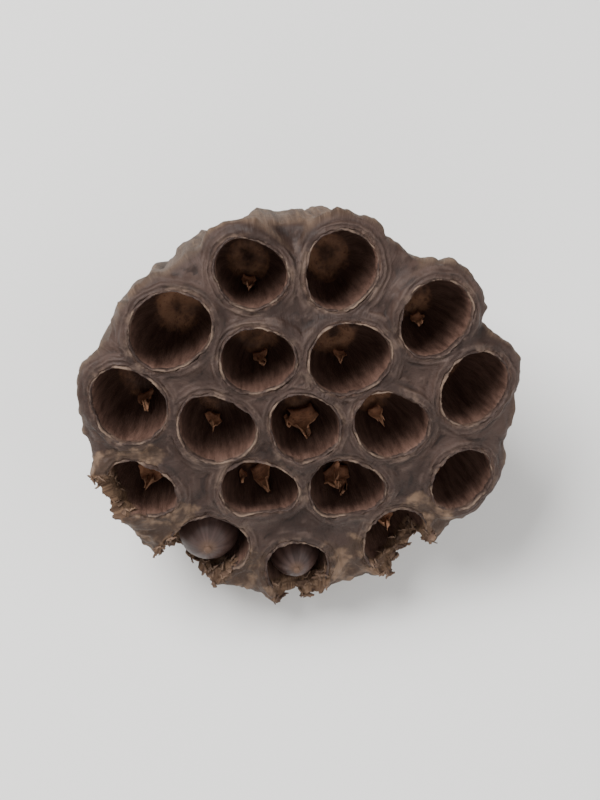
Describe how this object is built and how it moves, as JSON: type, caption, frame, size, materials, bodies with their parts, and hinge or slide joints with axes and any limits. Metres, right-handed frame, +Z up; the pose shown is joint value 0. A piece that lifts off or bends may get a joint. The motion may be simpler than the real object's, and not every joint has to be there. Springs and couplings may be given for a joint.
{
  "type": "dried lotus pod",
  "caption": "Dried lotus seed head: a shrivelled bowl with round seed pits in its domed face, torn along part of its rim, lying on its side with a stub of stalk.",
  "frame": {"origin": "on the surface the pod lies on, under the centre of its bounding box", "axes": "+Z up; the pitted face looks forwards and up, towards -Y and +Z; the stalk points backwards and down, towards +Y; +X to the right seen from the front"},
  "size_m": [0.0794, 0.065, 0.0648],
  "materials": {
    "pod_skin": "matt, grey-brown, leathery and fibrous",
    "stalk": "matt, tan, rough and fibrous",
    "seed_shell": "smooth, satin, purplish brown"
  },
  "bodies": {
    "root": {"receptacle": "pod_skin", "stalk_stub": "stalk", "seed_1": "seed_shell", "seed_2": "seed_shell"}
  },
  "joints": []
}
